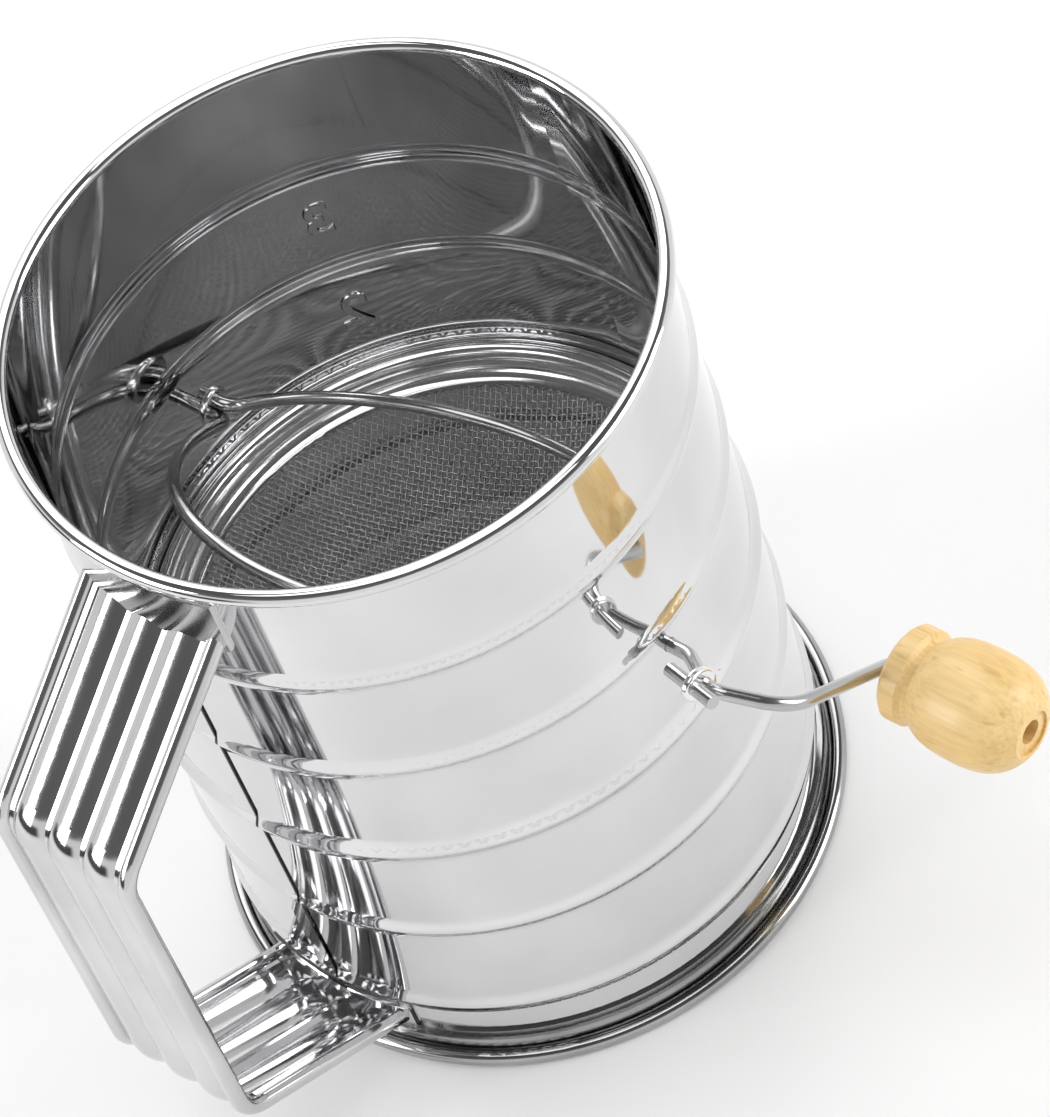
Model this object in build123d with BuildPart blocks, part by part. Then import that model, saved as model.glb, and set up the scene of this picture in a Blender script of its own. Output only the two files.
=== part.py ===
from build123d import *
import math
import os

# Hand-crank flour sifter. The origin is the can's axis at the plane that it stands on, +Z is up,
# the handle points to -X, the crank leaves the can at -Y and the shaft's far bearing is at +Y.

# Can: one rolled sheet with five outward beads, a wired rim and a wired base hoop
CAN_HEIGHT = 141.0
WALL_RADIUS = 52.6
SHEET = 0.5
WALL_BOTTOM = 5.0
BEAD_COUNT = 5
BEAD_PITCH = 24.7
LOWEST_BEAD = 15.6
BEAD_WIDTH = 5.6
BEAD_HEIGHT = 0.75
SCREEN_BEAD = 2
SCREEN_BEAD_WIDTH = 7.0
SCREEN_BEAD_HEIGHT = 1.1
SEAM_WIDTH = 4.0
SEAM_HEIGHT = 0.35
SEAM_BOTTOM = 13.4
SEAM_TOP = 121.0
HOOP_WIRE_RADIUS = 0.9
CURL_BORE = 0.95
RIM_CURL_TURN = 300.0

# Base hoop: a skirt outside the wall that flares into a curl around its own wire
HOOP_RADIUS = 54.9
HOOP_CENTRE_Z = 1.25
SKIRT_TOP = 7.0
SKIRT_BOTTOM = 5.2
BASE_CURL_TURN = 290.0

# Screen: a woven bowl clamped between two pressed rings under the middle bead
FRAME_CREST_RADIUS = 50.35
FRAME_CREST_Z = 62.3
FRAME_CREST_TURN = 1.5
FRAME_BAND_BOTTOM = 58.35
FRAME_LIP_RADIUS = 45.5
FRAME_FOOT_Z = 60.4
CLAMP_Z = 57.25
CLAMP_LIP_RADIUS = 46.5
CLAMP_BEND = 1.0
MESH_THICKNESS = 0.6
MESH_EDGE_Z = 57.8
MESH_DEPTH = 16.6
MESH_FLANGE_RADIUS = 47.8

# Agitator: two wire bows on one diametral shaft, clipped together beside each wall
SHAFT_Z = 84.0
WIRE_RADIUS = 1.2
BEARING_CLEARANCE = 0.1
CRANK_TILT = 38.0
BOW_RADIUS = 41.5
BOW_REACH = 39.5
BOW_FOOT_BEND = 3.0
BOW_SPACING = 2.5
SECOND_BOW_END = 48.0
CLIP_CENTRE = 45.2
CLIP_THICKNESS = 1.4
CLIP_LENGTH = 7.6
CLIP_WIDTH = 5.8
CLIP_EDGE_ROUND = 0.5
FAR_END = 56.2
FAR_RETAINER_START = 54.0
RETAINER_THICKNESS = 1.2
FAR_RETAINER_RADIUS = 2.8

# Crank outside the near wall: distances along the shaft and along the crank arm
CRANK_LEAVES = 56.5
CRANK_DIP = (65.8, -7.6)
CRANK_ARM_AT = 77.0
CRANK_ARM_START = -0.6
CRANK_THROW = 28.0
CRANK_BEND = 4.0
CRANK_ARM_BEND = 9.0
KNOB_PIN_BEND = 2.2
STOP_PIN_START = (58.0, -7.3)
STOP_PIN_END = (69.0, -10.5)
STOP_CLIP_AT = (63.6, -7.3)

# Knob: a turned beech egg with a collar, free on the wire's end
KNOB_START = 79.5
KNOB_LENGTH = 25.0
COLLAR_RADIUS = 8.35
COLLAR_LENGTH = 4.4
COLLAR_ROUND = 0.8
GROOVE_RADIUS = 7.3
EGG_RADIUS = 9.9
KNOB_END_RADIUS = 4.6
KNOB_BORE = 1.3
KNOB_COUNTERBORE = 2.15
KNOB_COUNTERBORE_DEPTH = 6.0
KNOB_RETAINER_RADIUS = 1.9
KNOB_RETAINER_THICKNESS = 1.0
KNOB_AXIAL_GAP = 0.3
END_RING_RADIUS = 3.9
END_RING_DEPTH = 0.5

# Handle: one fluted strap with rolled edges, bent twice, with a pad welded to the wall at each end
HANDLE_ROUTE = ((-49.0, 126.5), (-85.5, 101.5), (-86.5, 30.0), (-49.0, 7.8))
HANDLE_BEND = 8.0
STRAP_HALF_WIDTH = 13.2
STRAP_THICKNESS = 0.8
STRAP_EDGE_RADIUS = 1.5
RIB_PITCH = 7.4
RIB_WIDTH = 6.8
RIB_HEIGHT = 1.0
PAD_WIDTH = 31.0
UPPER_PAD = (123.0, 135.0)
LOWER_PAD = (7.4, 12.4)

# Worked-out sizes
wall_inside = WALL_RADIUS - SHEET
rim_radius = WALL_RADIUS + CURL_BORE
rim_z = CAN_HEIGHT - CURL_BORE - SHEET
knob_end = KNOB_START + KNOB_LENGTH
knob_shoulder = knob_end - KNOB_COUNTERBORE_DEPTH
knob_retainer_start = knob_shoulder + KNOB_AXIAL_GAP
crank_wire_end = knob_retainer_start + KNOB_RETAINER_THICKNESS + KNOB_AXIAL_GAP
tilt = math.radians(CRANK_TILT)

# The crank plane holds the shaft: its X runs along the shaft out of the near wall, its Y along the arm
crank_normal = Vector(math.sin(tilt), 0, math.cos(tilt))
crank_plane = Plane(origin=(0, 0, SHAFT_Z), x_dir=(0, -1, 0), z_dir=crank_normal)
second_bow_plane = crank_plane.offset(BOW_SPACING)


def bead_profile(radius):
    """One face of the beaded wall, from its bottom edge up to the rim's curl."""
    height = WALL_BOTTOM
    for bead in range(BEAD_COUNT):
        centre = LOWEST_BEAD + bead * BEAD_PITCH
        width = SCREEN_BEAD_WIDTH if bead == SCREEN_BEAD else BEAD_WIDTH
        rise = SCREEN_BEAD_HEIGHT if bead == SCREEN_BEAD else BEAD_HEIGHT
        start = (radius, centre - width / 2)
        end = (radius, centre + width / 2)
        Line((radius, height), start)
        Spline(start, (radius + rise, centre), end, tangents=((0, 1), (0, 1)))
        height = centre + width / 2
    Line((radius, height), (radius, rim_z))


def polar(centre, radius, angle):
    """The point at a radius and an angle in degrees around a centre."""
    turn = math.radians(angle)
    return (centre[0] + radius * math.cos(turn), centre[1] + radius * math.sin(turn))


def curl_profile(centre, start_angle, turn):
    """The two faces of a curl around a wire, closed at the sheet's cut edge."""
    for radius in (CURL_BORE, CURL_BORE + SHEET):
        CenterArc(centre, radius, start_angle, turn)
    end_angle = start_angle + turn
    Line(polar(centre, CURL_BORE, end_angle), polar(centre, CURL_BORE + SHEET, end_angle))


def bow_profile(side):
    """A round bow on one side of the shaft, from its far foot to its near foot."""
    centre_drop = BOW_RADIUS - BOW_REACH
    foot = math.sqrt((BOW_RADIUS + BOW_FOOT_BEND) ** 2 - (centre_drop + BOW_FOOT_BEND) ** 2)
    lean = math.degrees(math.atan2(centre_drop + BOW_FOOT_BEND, foot))
    CenterArc((-foot, side * BOW_FOOT_BEND), BOW_FOOT_BEND, -side * 90, side * (90 - lean))
    CenterArc((0, -side * centre_drop), BOW_RADIUS, 180 - side * lean, -side * (180 - 2 * lean))
    CenterArc((foot, side * BOW_FOOT_BEND), BOW_FOOT_BEND, 180 + side * lean, side * (90 - lean))
    return foot


def crank_sketch_plane(along_shaft, along_arm=0.0, off_plane=0.0):
    """A plane square to the shaft, at a place given in the crank plane's own distances."""
    origin = crank_plane.from_local_coords((along_shaft, along_arm, off_plane))
    return Plane(origin=origin, x_dir=crank_normal, z_dir=(0, -1, 0))


# The can's rolled and beaded sheet, with its lock seam under the handle and the two shaft holes
with BuildPart() as can_body:
    with BuildSketch(Plane.XZ):
        with BuildLine():
            bead_profile(WALL_RADIUS)
            bead_profile(wall_inside)
            Line((wall_inside, WALL_BOTTOM), (WALL_RADIUS, WALL_BOTTOM))
            curl_profile((rim_radius, rim_z), 180, -RIM_CURL_TURN)
        make_face()
    revolve(axis=Axis.Z)
    with BuildSketch(Plane.XY.offset(SEAM_BOTTOM)):
        Circle(WALL_RADIUS + SEAM_HEIGHT)
        Circle(WALL_RADIUS, mode=Mode.SUBTRACT)
        with Locations((-WALL_RADIUS, 0)):
            Rectangle(SEAM_WIDTH, SEAM_WIDTH, mode=Mode.INTERSECT)
    extrude(amount=SEAM_TOP - SEAM_BOTTOM)
    with BuildSketch(Plane.XZ):
        with Locations((0, SHAFT_Z)):
            Circle(WIRE_RADIUS + BEARING_CLEARANCE)
    extrude(amount=CAN_HEIGHT, both=True, mode=Mode.SUBTRACT)
can_body.part.label = "can_body"

# The stiffening wire inside the rim's curl
with BuildPart() as rim_wire:
    with BuildSketch(Plane.XZ):
        with Locations((rim_radius, rim_z)):
            Circle(HOOP_WIRE_RADIUS)
    revolve(axis=Axis.Z)
rim_wire.part.label = "rim_wire"

# The base ring: a skirt on the wall, flared out and curled around the base wire, flat underneath
with BuildPart() as base_ring:
    with BuildSketch(Plane.XZ):
        with BuildLine():
            curl_side = HOOP_RADIUS - CURL_BORE
            for skirt, curl in ((WALL_RADIUS, curl_side - SHEET), (WALL_RADIUS + SHEET, curl_side)):
                Line((skirt, SKIRT_TOP), (skirt, SKIRT_BOTTOM))
                Spline((skirt, SKIRT_BOTTOM), (curl, HOOP_CENTRE_Z), tangents=((0, -1), (0, -1)))
            Line((WALL_RADIUS, SKIRT_TOP), (WALL_RADIUS + SHEET, SKIRT_TOP))
            curl_profile((HOOP_RADIUS, HOOP_CENTRE_Z), 180, BASE_CURL_TURN)
        make_face()
    revolve(axis=Axis.Z)
    split(bisect_by=Plane.XY, keep=Keep.TOP)
base_ring.part.label = "base_ring"

# The wire inside the base ring's curl
with BuildPart() as base_wire:
    with BuildSketch(Plane.XZ):
        with Locations((HOOP_RADIUS, HOOP_CENTRE_Z)):
            Circle(HOOP_WIRE_RADIUS)
    revolve(axis=Axis.Z)
base_wire.part.label = "base_wire"

# The screen's upper ring: a wall foot, a bright rolled crest and a hollow band down to its lip
with BuildPart() as screen_frame_upper:
    with BuildSketch(Plane.XZ):
        with BuildLine():
            foot_radius = FRAME_CREST_RADIUS + FRAME_CREST_TURN
            neck_radius = FRAME_CREST_RADIUS - FRAME_CREST_TURN
            band_turn = neck_radius - FRAME_LIP_RADIUS
            band_centre_z = FRAME_BAND_BOTTOM + band_turn
            for side in (SHEET / 2, -SHEET / 2):
                Line((foot_radius + side, FRAME_FOOT_Z), (foot_radius + side, FRAME_CREST_Z))
                CenterArc((FRAME_CREST_RADIUS, FRAME_CREST_Z), FRAME_CREST_TURN + side, 0, 180)
                Line((neck_radius - side, FRAME_CREST_Z), (neck_radius - side, band_centre_z))
                CenterArc((FRAME_LIP_RADIUS, band_centre_z), band_turn - side, 0, -90)
            Line((foot_radius - SHEET / 2, FRAME_FOOT_Z), (foot_radius + SHEET / 2, FRAME_FOOT_Z))
            Line(
                (FRAME_LIP_RADIUS, FRAME_BAND_BOTTOM - SHEET / 2),
                (FRAME_LIP_RADIUS, FRAME_BAND_BOTTOM + SHEET / 2),
            )
        make_face()
    revolve(axis=Axis.Z)
screen_frame_upper.part.label = "screen_frame_upper"

# The screen's lower ring: a flat clamp under the mesh with a wall foot
with BuildPart() as screen_frame_lower:
    with BuildSketch(Plane.XZ):
        with BuildLine():
            bend_radius = foot_radius - CLAMP_BEND
            bend_z = CLAMP_Z + CLAMP_BEND
            for side in (SHEET / 2, -SHEET / 2):
                Line((CLAMP_LIP_RADIUS, CLAMP_Z - side), (bend_radius, CLAMP_Z - side))
                CenterArc((bend_radius, bend_z), CLAMP_BEND + side, -90, 90)
                Line((foot_radius + side, bend_z), (foot_radius + side, FRAME_FOOT_Z))
            Line((CLAMP_LIP_RADIUS, CLAMP_Z - SHEET / 2), (CLAMP_LIP_RADIUS, CLAMP_Z + SHEET / 2))
            Line((foot_radius - SHEET / 2, FRAME_FOOT_Z), (foot_radius + SHEET / 2, FRAME_FOOT_Z))
        make_face()
    revolve(axis=Axis.Z)
screen_frame_lower.part.label = "screen_frame_lower"

# The mesh bowl: a shallow spherical cap with a flat edge held between the two rings
with BuildPart() as mesh_screen:
    bowl_radius = (FRAME_LIP_RADIUS**2 + MESH_DEPTH**2) / (2 * MESH_DEPTH)
    bowl_centre = (0, MESH_EDGE_Z - MESH_DEPTH + bowl_radius)
    bowl_angle = math.degrees(math.asin(FRAME_LIP_RADIUS / bowl_radius))
    with BuildSketch(Plane.XZ):
        with BuildLine():
            half = MESH_THICKNESS / 2
            for radius in (bowl_radius - half, bowl_radius + half):
                CenterArc(bowl_centre, radius, -90, bowl_angle)
            for angle in (-90, bowl_angle - 90):
                Line(polar(bowl_centre, bowl_radius - half, angle), polar(bowl_centre, bowl_radius + half, angle))
        make_face()
        flange_width = MESH_FLANGE_RADIUS - FRAME_LIP_RADIUS + MESH_THICKNESS
        with Locations((MESH_FLANGE_RADIUS - flange_width / 2, MESH_EDGE_Z)):
            Rectangle(flange_width, MESH_THICKNESS)
    revolve(axis=Axis.Z)
mesh_screen.part.label = "mesh_screen"

# The main wire: far journal, first bow, near journal, crank and the pin that the knob turns on
with BuildPart() as crank_wire:
    with BuildLine(crank_plane) as crank_path:
        bow_foot = bow_profile(-1)
        Line((-FAR_END, 0), (-bow_foot, 0))
        FilletPolyline(
            (bow_foot, 0),
            (CRANK_LEAVES, 0),
            CRANK_DIP,
            (CRANK_ARM_AT, CRANK_ARM_START),
            (CRANK_ARM_AT, CRANK_THROW),
            (crank_wire_end, CRANK_THROW),
            radius=(CRANK_BEND, CRANK_BEND, CRANK_ARM_BEND, KNOB_PIN_BEND),
        )
    with BuildSketch(crank_sketch_plane(-FAR_END)):
        Circle(WIRE_RADIUS)
    sweep()
crank_wire.part.label = "crank_wire"

# The second wire: a bow opposite the first, its straight ends beside the journals
with BuildPart() as second_bow:
    with BuildLine(second_bow_plane) as second_path:
        bow_profile(1)
        Line((-SECOND_BOW_END, 0), (-bow_foot, 0))
        Line((bow_foot, 0), (SECOND_BOW_END, 0))
    with BuildSketch(crank_sketch_plane(-SECOND_BOW_END, off_plane=BOW_SPACING)):
        Circle(WIRE_RADIUS)
    sweep()
second_bow.part.label = "second_bow"


def wire_clip(along_shaft, along_arm, off_plane, length, width):
    """An oval clip disc with rounded edges, pressed over the wires that pass through it."""
    with BuildPart(mode=Mode.PRIVATE) as clip:
        with BuildSketch(crank_sketch_plane(along_shaft - CLIP_THICKNESS / 2, along_arm, off_plane)):
            Ellipse(length / 2, width / 2)
        extrude(amount=CLIP_THICKNESS)
        fillet(clip.edges(), CLIP_EDGE_ROUND)
    return clip.part


# The two clips that hold the wires together just inside the walls
with BuildPart() as far_clip:
    add(wire_clip(-CLIP_CENTRE, 0, BOW_SPACING / 2, CLIP_LENGTH, CLIP_WIDTH))
    add(crank_wire.part, mode=Mode.SUBTRACT)
    add(second_bow.part, mode=Mode.SUBTRACT)
far_clip.part.label = "far_clip"

with BuildPart() as near_clip:
    add(wire_clip(CLIP_CENTRE, 0, BOW_SPACING / 2, CLIP_LENGTH, CLIP_WIDTH))
    add(crank_wire.part, mode=Mode.SUBTRACT)
    add(second_bow.part, mode=Mode.SUBTRACT)
near_clip.part.label = "near_clip"

# The short stop pin that lies beside the crank outside the wall
with BuildPart() as stop_pin:
    with BuildLine(crank_plane) as stop_line:
        Line(STOP_PIN_START, STOP_PIN_END)
    with BuildSketch(Plane(origin=stop_line.wire() @ 0, z_dir=stop_line.wire() % 0)):
        Circle(WIRE_RADIUS)
    sweep()
stop_pin.part.label = "stop_pin"

# The clip that holds the stop pin to the crank
with BuildPart() as stop_clip:
    add(wire_clip(STOP_CLIP_AT[0], STOP_CLIP_AT[1], 0, CLIP_WIDTH, CLIP_LENGTH))
    add(crank_wire.part, mode=Mode.SUBTRACT)
    add(stop_pin.part, mode=Mode.SUBTRACT)
stop_clip.part.label = "stop_clip"

# The push nut on the main wire outside the far wall
with BuildPart() as far_retainer:
    with BuildSketch(crank_sketch_plane(-FAR_RETAINER_START - RETAINER_THICKNESS)):
        Circle(FAR_RETAINER_RADIUS)
        Circle(WIRE_RADIUS, mode=Mode.SUBTRACT)
    extrude(amount=RETAINER_THICKNESS)
far_retainer.part.label = "far_retainer"

# The push nut that keeps the knob on, at the bottom of the knob's counterbore
with BuildPart() as knob_retainer:
    with BuildSketch(crank_sketch_plane(knob_retainer_start, CRANK_THROW)):
        Circle(KNOB_RETAINER_RADIUS)
        Circle(WIRE_RADIUS, mode=Mode.SUBTRACT)
    extrude(amount=KNOB_RETAINER_THICKNESS)
knob_retainer.part.label = "knob_retainer"

# The knob: collar, groove and egg, bored through and counterbored from its outer end
with BuildPart() as knob:
    with BuildSketch(crank_plane):
        with BuildLine():
            collar_end = KNOB_START + COLLAR_LENGTH
            groove_at = collar_end + COLLAR_ROUND
            egg_belly = (knob_end + groove_at) / 2 - COLLAR_ROUND * 2
            collar_edge = COLLAR_RADIUS - COLLAR_ROUND
            outline = (
                (KNOB_START, collar_edge),
                (KNOB_START + COLLAR_ROUND, COLLAR_RADIUS),
                (collar_end - COLLAR_ROUND, COLLAR_RADIUS),
                (collar_end, collar_edge),
                (groove_at, GROOVE_RADIUS),
            )
            Polyline(*[(along, CRANK_THROW + out) for along, out in outline])
            belly = (egg_belly, CRANK_THROW + EGG_RADIUS)
            nose = (knob_end, CRANK_THROW + KNOB_END_RADIUS)
            Spline((groove_at, CRANK_THROW + GROOVE_RADIUS), belly, nose, tangents=((1, 1), (0.45, -1)))
            Polyline(nose, (knob_end, CRANK_THROW), (KNOB_START, CRANK_THROW), (KNOB_START, CRANK_THROW + collar_edge))
        make_face()
    knob_axis = Axis(crank_plane.from_local_coords((0, CRANK_THROW, 0)), (0, -1, 0))
    revolve(axis=knob_axis)
    with BuildSketch(crank_sketch_plane(KNOB_START, CRANK_THROW)):
        Circle(KNOB_BORE)
    extrude(amount=KNOB_LENGTH, mode=Mode.SUBTRACT)
    with BuildSketch(crank_sketch_plane(knob_shoulder, CRANK_THROW)):
        Circle(KNOB_COUNTERBORE)
    extrude(amount=KNOB_COUNTERBORE_DEPTH, mode=Mode.SUBTRACT)
    with BuildSketch(crank_sketch_plane(knob_end - END_RING_DEPTH, CRANK_THROW)):
        Circle(END_RING_RADIUS)
    extrude(amount=END_RING_DEPTH, mode=Mode.SUBTRACT)
knob.part.label = "knob"

# The handle strap: three outward ribs between rolled edges, swept around two bends to curved wall pads
with BuildPart() as handle_strap:
    with BuildLine(Plane.XZ) as handle_path:
        FilletPolyline(*HANDLE_ROUTE, radius=HANDLE_BEND)
    with BuildSketch(Plane(origin=handle_path.wire() @ 0, x_dir=(0, 1, 0), z_dir=handle_path.wire() % 0)):
        with BuildLine():
            for face in (0, STRAP_THICKNESS):
                across = -STRAP_HALF_WIDTH
                for rib in (-1, 0, 1):
                    start = (rib * RIB_PITCH - RIB_WIDTH / 2, face)
                    end = (rib * RIB_PITCH + RIB_WIDTH / 2, face)
                    Line((across, face), start)
                    ThreePointArc(start, (rib * RIB_PITCH, face - RIB_HEIGHT), end)
                    across = end[0]
                Line((across, face), (STRAP_HALF_WIDTH, face))
            for edge in (-STRAP_HALF_WIDTH, STRAP_HALF_WIDTH):
                Line((edge, 0), (edge, STRAP_THICKNESS))
        make_face()
        with Locations(*[(edge, STRAP_THICKNESS / 2) for edge in (-STRAP_HALF_WIDTH, STRAP_HALF_WIDTH)]):
            Circle(STRAP_EDGE_RADIUS)
    sweep()
    for pad_bottom, pad_top in (LOWER_PAD, UPPER_PAD):
        with BuildSketch(Plane.XY.offset(pad_bottom)):
            Circle(WALL_RADIUS + STRAP_THICKNESS)
            with Locations((-WALL_RADIUS, 0)):
                Rectangle(PAD_WIDTH, PAD_WIDTH, mode=Mode.INTERSECT)
        extrude(amount=pad_top - pad_bottom)
    with BuildSketch():
        Circle(WALL_RADIUS)
    extrude(amount=CAN_HEIGHT, mode=Mode.SUBTRACT)
handle_strap.part.label = "handle_strap"

os.makedirs("parts", exist_ok=True)
for piece in (
    can_body, rim_wire, base_ring, base_wire, screen_frame_upper, screen_frame_lower, mesh_screen,
    crank_wire, second_bow, far_clip, near_clip, stop_pin, stop_clip, far_retainer,
    knob_retainer, knob, handle_strap,
):
    export_step(piece.part, f"parts/{piece.part.label}.step")
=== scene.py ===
import math

import bpy
from mathutils import Matrix, Vector


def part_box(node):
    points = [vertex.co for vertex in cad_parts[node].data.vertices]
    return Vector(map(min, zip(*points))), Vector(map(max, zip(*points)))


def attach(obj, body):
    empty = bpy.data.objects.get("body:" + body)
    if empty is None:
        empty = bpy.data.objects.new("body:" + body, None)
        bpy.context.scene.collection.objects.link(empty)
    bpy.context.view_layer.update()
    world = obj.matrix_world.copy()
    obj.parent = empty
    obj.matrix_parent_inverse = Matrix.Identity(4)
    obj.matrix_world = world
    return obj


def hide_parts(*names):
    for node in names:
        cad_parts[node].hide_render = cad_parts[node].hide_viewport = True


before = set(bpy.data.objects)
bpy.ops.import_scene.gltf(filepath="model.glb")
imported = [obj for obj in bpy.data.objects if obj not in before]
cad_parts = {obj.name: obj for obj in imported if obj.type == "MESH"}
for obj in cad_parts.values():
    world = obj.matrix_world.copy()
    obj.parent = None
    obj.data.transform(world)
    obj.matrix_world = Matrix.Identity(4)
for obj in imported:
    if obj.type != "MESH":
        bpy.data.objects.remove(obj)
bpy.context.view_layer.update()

# Places read from the frame, in metres
MM = 0.001
ring_low, ring_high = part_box("screen_frame_upper")
mesh_low, mesh_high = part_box("mesh_screen")
wall_radius = ring_high.x + 0.5 * MM
# Painted shadow along the lock seam's gap: where it lies on the can and its near-black colour.
SEAM_HALF_WIDTH = 2.0 * MM
SEAM_GAP = 0.28 * MM
SEAM_BOTTOM = 13.4 * MM
SEAM_TOP = 121.0 * MM
PAINTED_SEAM_SHADOW = (0.05, 0.05, 0.05)


# ---------------------------------------------------------------- materials

class Material:
    """A node material around one Principled shader, with short helpers for its nodes."""

    def __init__(self, name, **settings):
        self.material = bpy.data.materials.new(name)
        self.material.use_nodes = True
        self.nodes = self.material.node_tree.nodes
        self.links = self.material.node_tree.links
        self.shader = self.nodes["Principled BSDF"]
        self.place = self.nodes.new("ShaderNodeTexCoord").outputs["Object"]
        for socket, value in settings.items():
            self.shader.inputs[socket.replace("_", " ")].default_value = value

    def stretched(self, scale):
        """The object's own coordinates, stretched by a different amount each way."""
        mapping = self.nodes.new("ShaderNodeMapping")
        mapping.inputs["Scale"].default_value = scale
        self.links.new(self.place, mapping.inputs["Vector"])
        return mapping.outputs["Vector"]

    def noise(self, scale, detail=4.0, stretch=(1, 1, 1), distortion=0.0):
        node = self.nodes.new("ShaderNodeTexNoise")
        node.inputs["Scale"].default_value = scale
        node.inputs["Detail"].default_value = detail
        node.inputs["Distortion"].default_value = distortion
        self.links.new(self.stretched(stretch), node.inputs["Vector"])
        return node.outputs["Fac"]

    def ramp(self, value, *stops):
        """A colour ramp over a value: each stop is its place and its colour."""
        node = self.nodes.new("ShaderNodeValToRGB")
        elements = node.color_ramp.elements
        while len(elements) < len(stops):
            elements.new(0.5)
        for element, (place, colour) in zip(elements, stops):
            element.position = place
            element.color = (*colour, 1.0)
        self.links.new(value, node.inputs["Fac"])
        return node.outputs["Color"]

    def spread(self, value, low, high):
        """A value from 0 to 1 mapped to the range from low to high."""
        node = self.nodes.new("ShaderNodeMapRange")
        node.inputs["To Min"].default_value = low
        node.inputs["To Max"].default_value = high
        self.links.new(value, node.inputs["Value"])
        return node.outputs["Result"]

    def mix(self, share, first, second, blend="MIX"):
        node = self.nodes.new("ShaderNodeMix")
        node.data_type = "RGBA"
        node.blend_type = blend
        for socket, value in (("Factor", share), ("A", first), ("B", second)):
            matching = [s for s in node.inputs if s.name == socket and s.enabled]
            if isinstance(value, bpy.types.NodeSocket):
                self.links.new(value, matching[0])
            else:
                matching[0].default_value = value
        return [s for s in node.outputs if s.enabled][0]

    def bump(self, height, strength, distance):
        node = self.nodes.new("ShaderNodeBump")
        node.inputs["Strength"].default_value = strength
        node.inputs["Distance"].default_value = distance
        self.links.new(height, node.inputs["Height"])
        self.links.new(node.outputs["Normal"], self.shader.inputs["Normal"])

    def compare(self, operation, first, second, third=0.0):
        node = self.nodes.new("ShaderNodeMath")
        node.operation = operation
        for index, value in enumerate((first, second, third)):
            if isinstance(value, bpy.types.NodeSocket):
                self.links.new(value, node.inputs[index])
            else:
                node.inputs[index].default_value = value
        return node.outputs[0]

    def painted_seam_shadow_mask(self):
        """Painted shadow: one along the open edge of the can's lock seam, where shade falls in the gap, and
        zero elsewhere.
        """
        split = self.nodes.new("ShaderNodeSeparateXYZ")
        self.links.new(self.place, split.inputs["Vector"])
        across = self.compare("COMPARE", split.outputs["Y"], -SEAM_HALF_WIDTH, SEAM_GAP)
        behind = self.compare("LESS_THAN", split.outputs["X"], 0.0)
        below = self.compare("LESS_THAN", split.outputs["Z"], SEAM_TOP)
        above = self.compare("GREATER_THAN", split.outputs["Z"], SEAM_BOTTOM)
        height = self.compare("MULTIPLY", below, above)
        return self.compare("MULTIPLY", self.compare("MULTIPLY", across, behind), height)

    def feed(self, socket, value):
        self.links.new(value, self.shader.inputs[socket])


def steel(name, light, dark, rough, streak, wave, seam=False):
    """Polished steel: faint cloudy colour, an optional painted shadow along the seam, roughness that varies
    with drawing streaks, and slow waves.
    """
    made = Material(name, Metallic=1.0)
    clouds = made.noise(45.0, detail=5.0)
    colour = made.ramp(clouds, (0.35, dark), (0.65, light))
    if seam:
        # Painted shadow: the seam's gap is coloured near black instead of being shaded by light.
        colour = made.mix(made.painted_seam_shadow_mask(), colour, (*PAINTED_SEAM_SHADOW, 1.0))
    made.feed("Base Color", colour)
    streaks = made.noise(900.0, detail=3.0, stretch=streak)
    made.feed("Roughness", made.spread(streaks, rough[0], rough[1]))
    made.bump(made.noise(wave[0], detail=1.5), wave[1], 0.4 * MM)
    return made.material


def grey(level, tint=0.0):
    return (level, level, level * (1 + tint))


def beech():
    """Turned beech: straight fine grain along the knob's axis, small dark flecks and a thin satin lacquer."""
    made = Material("turned_beech", Coat_Weight=0.25, Coat_Roughness=0.22, Specular_IOR_Level=0.4)
    bands = made.noise(70.0, detail=6.0, stretch=(1.0, 0.12, 1.0), distortion=0.6)
    body = made.ramp(
        bands, (0.22, (0.74, 0.47, 0.165)), (0.45, (0.84, 0.58, 0.235)), (0.62, (0.92, 0.67, 0.32)),
        (0.8, (0.82, 0.56, 0.23)),
    )
    fibres = made.noise(1500.0, detail=3.0, stretch=(1.0, 0.07, 1.0))
    fibre_colour = made.ramp(fibres, (0.3, (0.62, 0.55, 0.47)), (0.6, (1.0, 1.0, 1.0)))
    grained = made.mix(0.32, body, fibre_colour, "MULTIPLY")
    flecks = made.noise(700.0, detail=1.0, stretch=(1.0, 0.3, 1.0))
    fleck_colour = made.ramp(flecks, (0.62, (1.0, 1.0, 1.0)), (0.74, (0.66, 0.50, 0.36)))
    made.feed("Base Color", made.mix(0.4, grained, fleck_colour, "MULTIPLY"))
    made.feed("Roughness", made.spread(fibres, 0.34, 0.52))
    made.bump(fibres, 0.25, 0.08 * MM)
    return made.material


# seam=True adds the painted shadow along the lock seam.
can_steel = steel("can_steel", grey(0.75, 0.01), grey(0.70, 0.012), (0.035, 0.065), (1, 1, 0.05), (28.0, 0.10), seam=True)
# Painted shade: the base ring's steel is coloured darker than the can's tinplate to stand in for the dark
# reflection around its hem.
base_steel_painted_dark = steel("base_steel_painted_dark", grey(0.50), grey(0.38), (0.09, 0.15), (1, 1, 0.1), (30.0, 0.12))
ring_steel = steel("ring_steel", grey(0.84), grey(0.76), (0.08, 0.14), (1, 1, 0.1), (40.0, 0.10))
strap_steel = steel("strap_steel", grey(0.67, 0.01), grey(0.58, 0.01), (0.07, 0.14), (1, 1, 0.06), (55.0, 0.22))
wire_steel = steel("wire_steel", grey(0.54), grey(0.42), (0.14, 0.24), (1, 0.06, 1), (220.0, 0.12))
clip_steel = steel("clip_steel", grey(0.85), grey(0.74), (0.12, 0.20), (1, 1, 1), (260.0, 0.12))
mesh_steel = steel("mesh_steel", grey(0.78), grey(0.54), (0.24, 0.36), (1, 1, 1), (400.0, 0.10))
knob_wood = beech()

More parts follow.
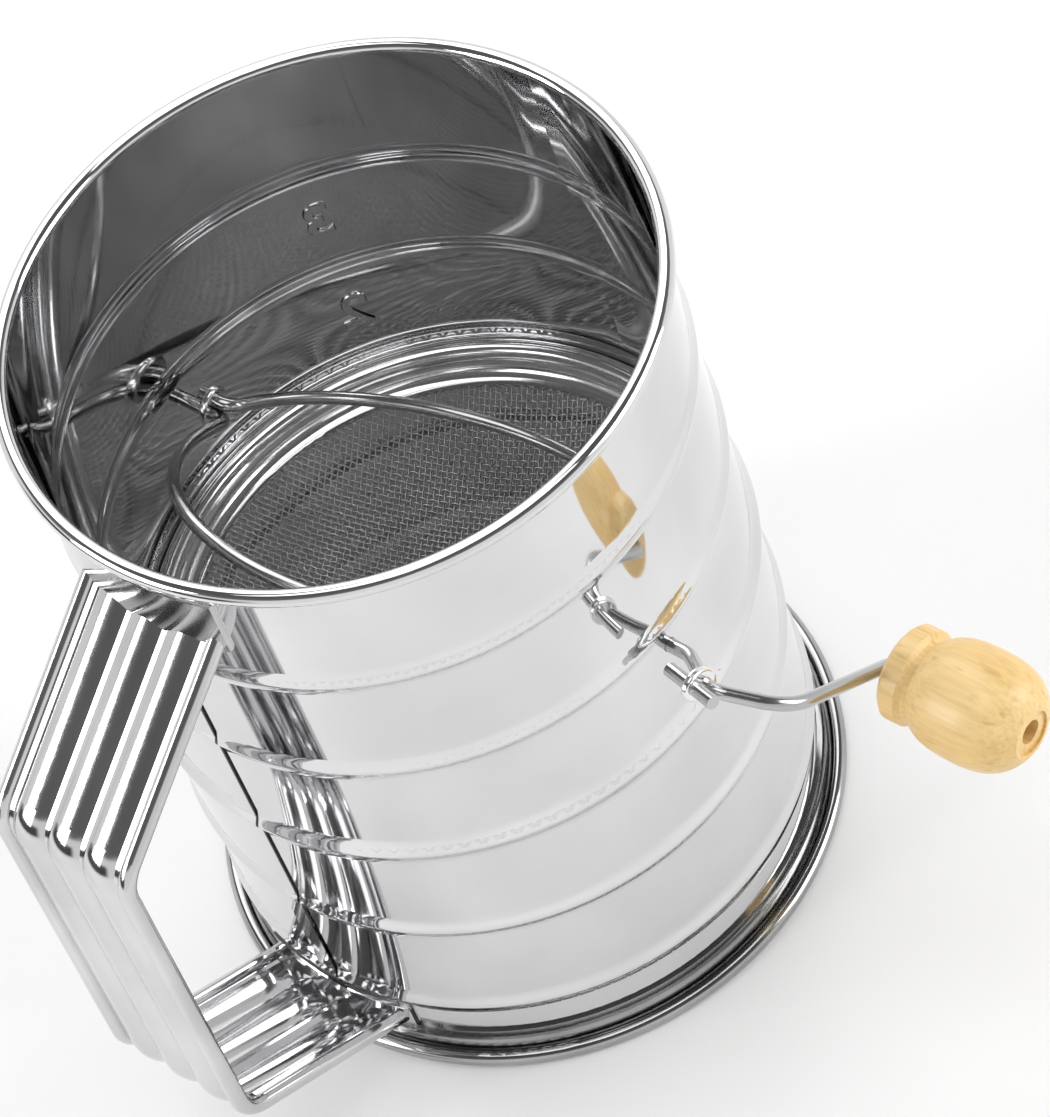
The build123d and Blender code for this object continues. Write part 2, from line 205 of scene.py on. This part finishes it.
finishes = {
    "can_body": can_steel, "rim_wire": wire_steel, "base_ring": base_steel_painted_dark, "base_wire": wire_steel,
    "screen_frame_upper": ring_steel, "screen_frame_lower": ring_steel, "mesh_screen": mesh_steel,
    "handle_strap": strap_steel, "crank_wire": wire_steel, "second_bow": wire_steel,
    "far_clip": clip_steel, "near_clip": clip_steel, "stop_pin": wire_steel, "stop_clip": clip_steel,
    "far_retainer": clip_steel, "knob_retainer": clip_steel, "knob": knob_wood,
}
for node_name, finish in finishes.items():
    for node_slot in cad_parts[node_name].material_slots:
        node_slot.material = finish


# ---------------------------------------------------------------- pieces

def new_piece(name, vertices, faces, material, body, smooth=True):
    """A mesh piece that rides on a CAD body and takes the finish it is given."""
    mesh = bpy.data.meshes.new(name)
    mesh.from_pydata(vertices, [], faces)
    mesh.update()
    piece = bpy.data.objects.new(name, mesh)
    bpy.context.scene.collection.objects.link(piece)
    if smooth:
        mesh.polygons.foreach_set("use_smooth", [True] * len(mesh.polygons))
    mesh.materials.append(material)
    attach(piece, body)
    return piece


def tube_along(points, radius, sides, vertices, faces):
    """Adds a closed round tube through the points, with its ends capped."""
    first = len(vertices)
    for index, point in enumerate(points):
        before = points[max(index - 1, 0)]
        after = points[min(index + 1, len(points) - 1)]
        along = (after - before).normalized()
        across = along.cross(Vector((0, 0, 1))).normalized()
        up = across.cross(along)
        for side in range(sides):
            turn = 2 * math.pi * (side + 0.5) / sides
            vertices.append(point + across * (radius * math.cos(turn)) + up * (radius * math.sin(turn)))
    for index in range(len(points) - 1):
        ring = first + index * sides
        for side in range(sides):
            beside = (side + 1) % sides
            faces.append((ring + side, ring + beside, ring + sides + beside, ring + sides + side))
    last = first + (len(points) - 1) * sides
    faces.append(tuple(first + side for side in reversed(range(sides))))
    faces.append(tuple(last + side for side in range(sides)))


WEAVE_PITCH = 0.95 * MM
WEAVE_WIRE = 0.175 * MM
WEAVE_SIDES = 3
WEAVE_TURN = math.radians(24)
bowl_edge_z = mesh_high.z - 0.3 * MM
bowl_depth = bowl_edge_z - mesh_low.z - 0.3 * MM
bowl_rim = 45.5 * MM
weave_reach = mesh_high.x - 1.2 * MM
bowl_sphere = (bowl_rim**2 + bowl_depth**2) / (2 * bowl_depth)


def bowl_height(distance):
    """The height of the mesh bowl's middle surface at a distance from the axis, flat past its rim."""
    inside = min(distance, bowl_rim)
    return bowl_edge_z - bowl_depth + bowl_sphere - math.sqrt(bowl_sphere**2 - inside**2)


def woven_bowl():
    """Plain-woven wire: two sets of wires that pass over and under each other on the bowl's surface."""
    vertices = []
    faces = []
    count = int(weave_reach / WEAVE_PITCH)
    for direction in (0, 1):
        angle = WEAVE_TURN + direction * math.pi / 2
        along = Vector((math.cos(angle), math.sin(angle), 0))
        across = Vector((-math.sin(angle), math.cos(angle), 0))
        for wire in range(-count, count + 1):
            offset = wire * WEAVE_PITCH
            half_steps = int(math.sqrt(max(weave_reach**2 - offset**2, 0)) / WEAVE_PITCH) * 2
            if half_steps < 4:
                continue
            points = []
            for step in range(-half_steps, half_steps + 1):
                place = along * (step * WEAVE_PITCH / 2) + across * offset
                phase = math.pi * (step / 2 + wire + direction)
                place.z = bowl_height(place.length) + WEAVE_WIRE * math.cos(phase)
                points.append(place)
            tube_along(points, WEAVE_WIRE, WEAVE_SIDES, vertices, faces)
    return new_piece("woven_screen", vertices, faces, mesh_steel, "can")


screen = woven_bowl()
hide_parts("mesh_screen")


MARK_BORDER = 0.32 * MM
MARK_AZIMUTH = math.radians(52)


def wall_mark(name, text, size, azimuth, height):
    """A raised numeral formed in the can's wall, read from outside, that shows mirrored from inside."""
    letters = bpy.data.curves.new(name, "FONT")
    letters.body = text
    letters.size = size
    letters.extrude = MARK_BORDER
    letters.bevel_depth = MARK_BORDER
    letters.bevel_resolution = 2
    letters.align_x = "CENTER"
    letters.align_y = "CENTER"
    letters.resolution_u = 6
    flat = bpy.data.objects.new(name + "_flat", letters)
    bpy.context.scene.collection.objects.link(flat)
    bpy.context.view_layer.update()
    source = bpy.data.meshes.new_from_object(flat.evaluated_get(bpy.context.evaluated_depsgraph_get()))
    bpy.data.objects.remove(flat)
    vertices = []
    for vertex in source.vertices:
        radius = wall_radius - 0.25 * MM + vertex.co.z
        turn = azimuth + vertex.co.x / wall_radius
        vertices.append((radius * math.cos(turn), radius * math.sin(turn), height + vertex.co.y))
    faces = [tuple(polygon.vertices) for polygon in source.polygons]
    return new_piece(name, vertices, faces, can_steel, "can", smooth=False)


for mark, level in (("3", 102.0), ("2", 77.4), ("1", 52.6)):
    wall_mark("cup_mark_" + mark, mark, 11 * MM, MARK_AZIMUTH, level * MM)


# ---------------------------------------------------------------- stage, light and camera

def floor():
    """A pale floor under the base ring that fades out at a distance and is clear from below."""
    half = 0.9
    mesh = bpy.data.meshes.new("floor")
    corners = [(-half, -half, 0), (half, -half, 0), (half, half, 0), (-half, half, 0)]
    mesh.from_pydata(corners, [], [(0, 1, 2, 3)])
    plane = bpy.data.objects.new("floor", mesh)
    bpy.context.scene.collection.objects.link(plane)
    paint = Material("floor_paint", Roughness=0.9, Specular_IOR_Level=0.1)
    paint.feed("Base Color", paint.ramp(paint.noise(3.0), (0.0, grey(0.92)), (1.0, grey(0.94))))
    distance = paint.nodes.new("ShaderNodeVectorMath")
    distance.operation = "LENGTH"
    paint.links.new(paint.place, distance.inputs[0])
    fade = paint.nodes.new("ShaderNodeMapRange")
    fade.inputs["From Min"].default_value = half
    fade.inputs["From Max"].default_value = 0.45 * half
    paint.links.new(distance.outputs["Value"], fade.inputs["Value"])
    underside = paint.nodes.new("ShaderNodeNewGeometry").outputs["Backfacing"]
    above = paint.compare("SUBTRACT", 1.0, underside)
    paint.feed("Alpha", paint.compare("MULTIPLY", fade.outputs["Result"], above))
    mesh.materials.append(paint.material)


def area_light(name, location, size, power, target=(0, 0, 0.06), shape=1.0):
    light = bpy.data.lights.new(name, "AREA")
    light.shape = "RECTANGLE"
    light.size = size
    light.size_y = size * shape
    light.energy = power
    lamp = bpy.data.objects.new(name, light)
    bpy.context.scene.collection.objects.link(lamp)
    lamp.location = location
    lamp.rotation_euler = (Vector(target) - Vector(location)).to_track_quat("-Z", "Y").to_euler()


FLAG_AZIMUTH = math.radians(150)


def studio_world():
    """A pale backdrop; bright metal reflects a low pale band, a dark ceiling and one low dark flag."""
    world = bpy.data.worlds.new("studio")
    bpy.context.scene.world = world
    world.use_nodes = True
    nodes = world.node_tree.nodes
    links = world.node_tree.links
    place = nodes.new("ShaderNodeTexCoord")
    split = nodes.new("ShaderNodeSeparateXYZ")
    links.new(place.outputs["Generated"], split.inputs["Vector"])
    ramp = nodes.new("ShaderNodeValToRGB")
    stops = ((0.0, 0.92), (0.40, 0.88), (0.52, 0.17), (1.0, 0.09))
    elements = ramp.color_ramp.elements
    while len(elements) < len(stops):
        elements.new(0.5)
    for element, (height, level) in zip(elements, stops):
        element.position = height
        element.color = (level, level, level, 1.0)
    links.new(split.outputs["Z"], ramp.inputs["Fac"])
    background = nodes["Background"]
    links.new(ramp.outputs["Color"], background.inputs["Color"])
    facing = nodes.new("ShaderNodeVectorMath")
    facing.operation = "DOT_PRODUCT"
    facing.inputs[1].default_value = (math.cos(FLAG_AZIMUTH), math.sin(FLAG_AZIMUTH), 0)
    links.new(place.outputs["Generated"], facing.inputs[0])
    level = nodes.new("ShaderNodeMath")
    level.operation = "ABSOLUTE"
    links.new(split.outputs["Z"], level.inputs[0])
    flag = nodes.new("ShaderNodeMath")
    flag.operation = "MULTIPLY"
    for index, (value, start, end) in enumerate(((facing.outputs["Value"], 0.78, 0.88), (level.outputs[0], 0.24, 0.15))):
        edge = nodes.new("ShaderNodeMapRange")
        edge.inputs["From Min"].default_value = start
        edge.inputs["From Max"].default_value = end
        links.new(value, edge.inputs["Value"])
        links.new(edge.outputs["Result"], flag.inputs[index])
    strength = nodes.new("ShaderNodeMapRange")
    strength.inputs["To Min"].default_value = 1.0
    strength.inputs["To Max"].default_value = 0.08
    links.new(flag.outputs[0], strength.inputs["Value"])
    links.new(strength.outputs["Result"], background.inputs["Strength"])
    backdrop = nodes.new("ShaderNodeBackground")
    backdrop.inputs["Color"].default_value = (0.95, 0.95, 0.95, 1.0)
    shown = nodes.new("ShaderNodeMixShader")
    links.new(nodes.new("ShaderNodeLightPath").outputs["Is Camera Ray"], shown.inputs[0])
    links.new(background.outputs["Background"], shown.inputs[1])
    links.new(backdrop.outputs["Background"], shown.inputs[2])
    links.new(shown.outputs["Shader"], nodes["World Output"].inputs["Surface"])


CAMERA_ROLL = 22.1
CAMERA_LENS = 164.0


def camera():
    """A long lens above the crank's side, rolled so that the can leans to the left."""
    forward = Vector((0.347, 0.501, -0.793)).normalized()
    level_right = forward.cross(Vector((0, 0, 1))).normalized()
    level_up = level_right.cross(forward)
    roll = math.radians(CAMERA_ROLL)
    right = level_right * math.cos(roll) - level_up * math.sin(roll)
    up = level_right * math.sin(roll) + level_up * math.cos(roll)
    data = bpy.data.cameras.new("camera")
    data.sensor_fit = "VERTICAL"
    data.sensor_height = 36.0
    data.lens = CAMERA_LENS
    data.clip_end = 50.0
    eye = bpy.data.objects.new("camera", data)
    bpy.context.scene.collection.objects.link(eye)
    turn = Matrix((right, up, -forward)).transposed().to_4x4()
    eye.matrix_world = Matrix.Translation(Vector((-0.2835, -0.4336, 0.7365))) @ turn
    bpy.context.scene.camera = eye


floor()
studio_world()
area_light("back_panel", (0.75, 1.05, 1.45), 1.7, 15.0, shape=0.75)
area_light("left_panel", (-1.5, 0.9, 0.8), 1.0, 21.0)
area_light("right_panel", (1.2, -1.4, 0.9), 1.2, 23.0)
area_light("top_panel", (0.0, 0.0, 2.0), 1.2, 8.5)
camera()
bpy.context.scene.view_settings.view_transform = "Standard"
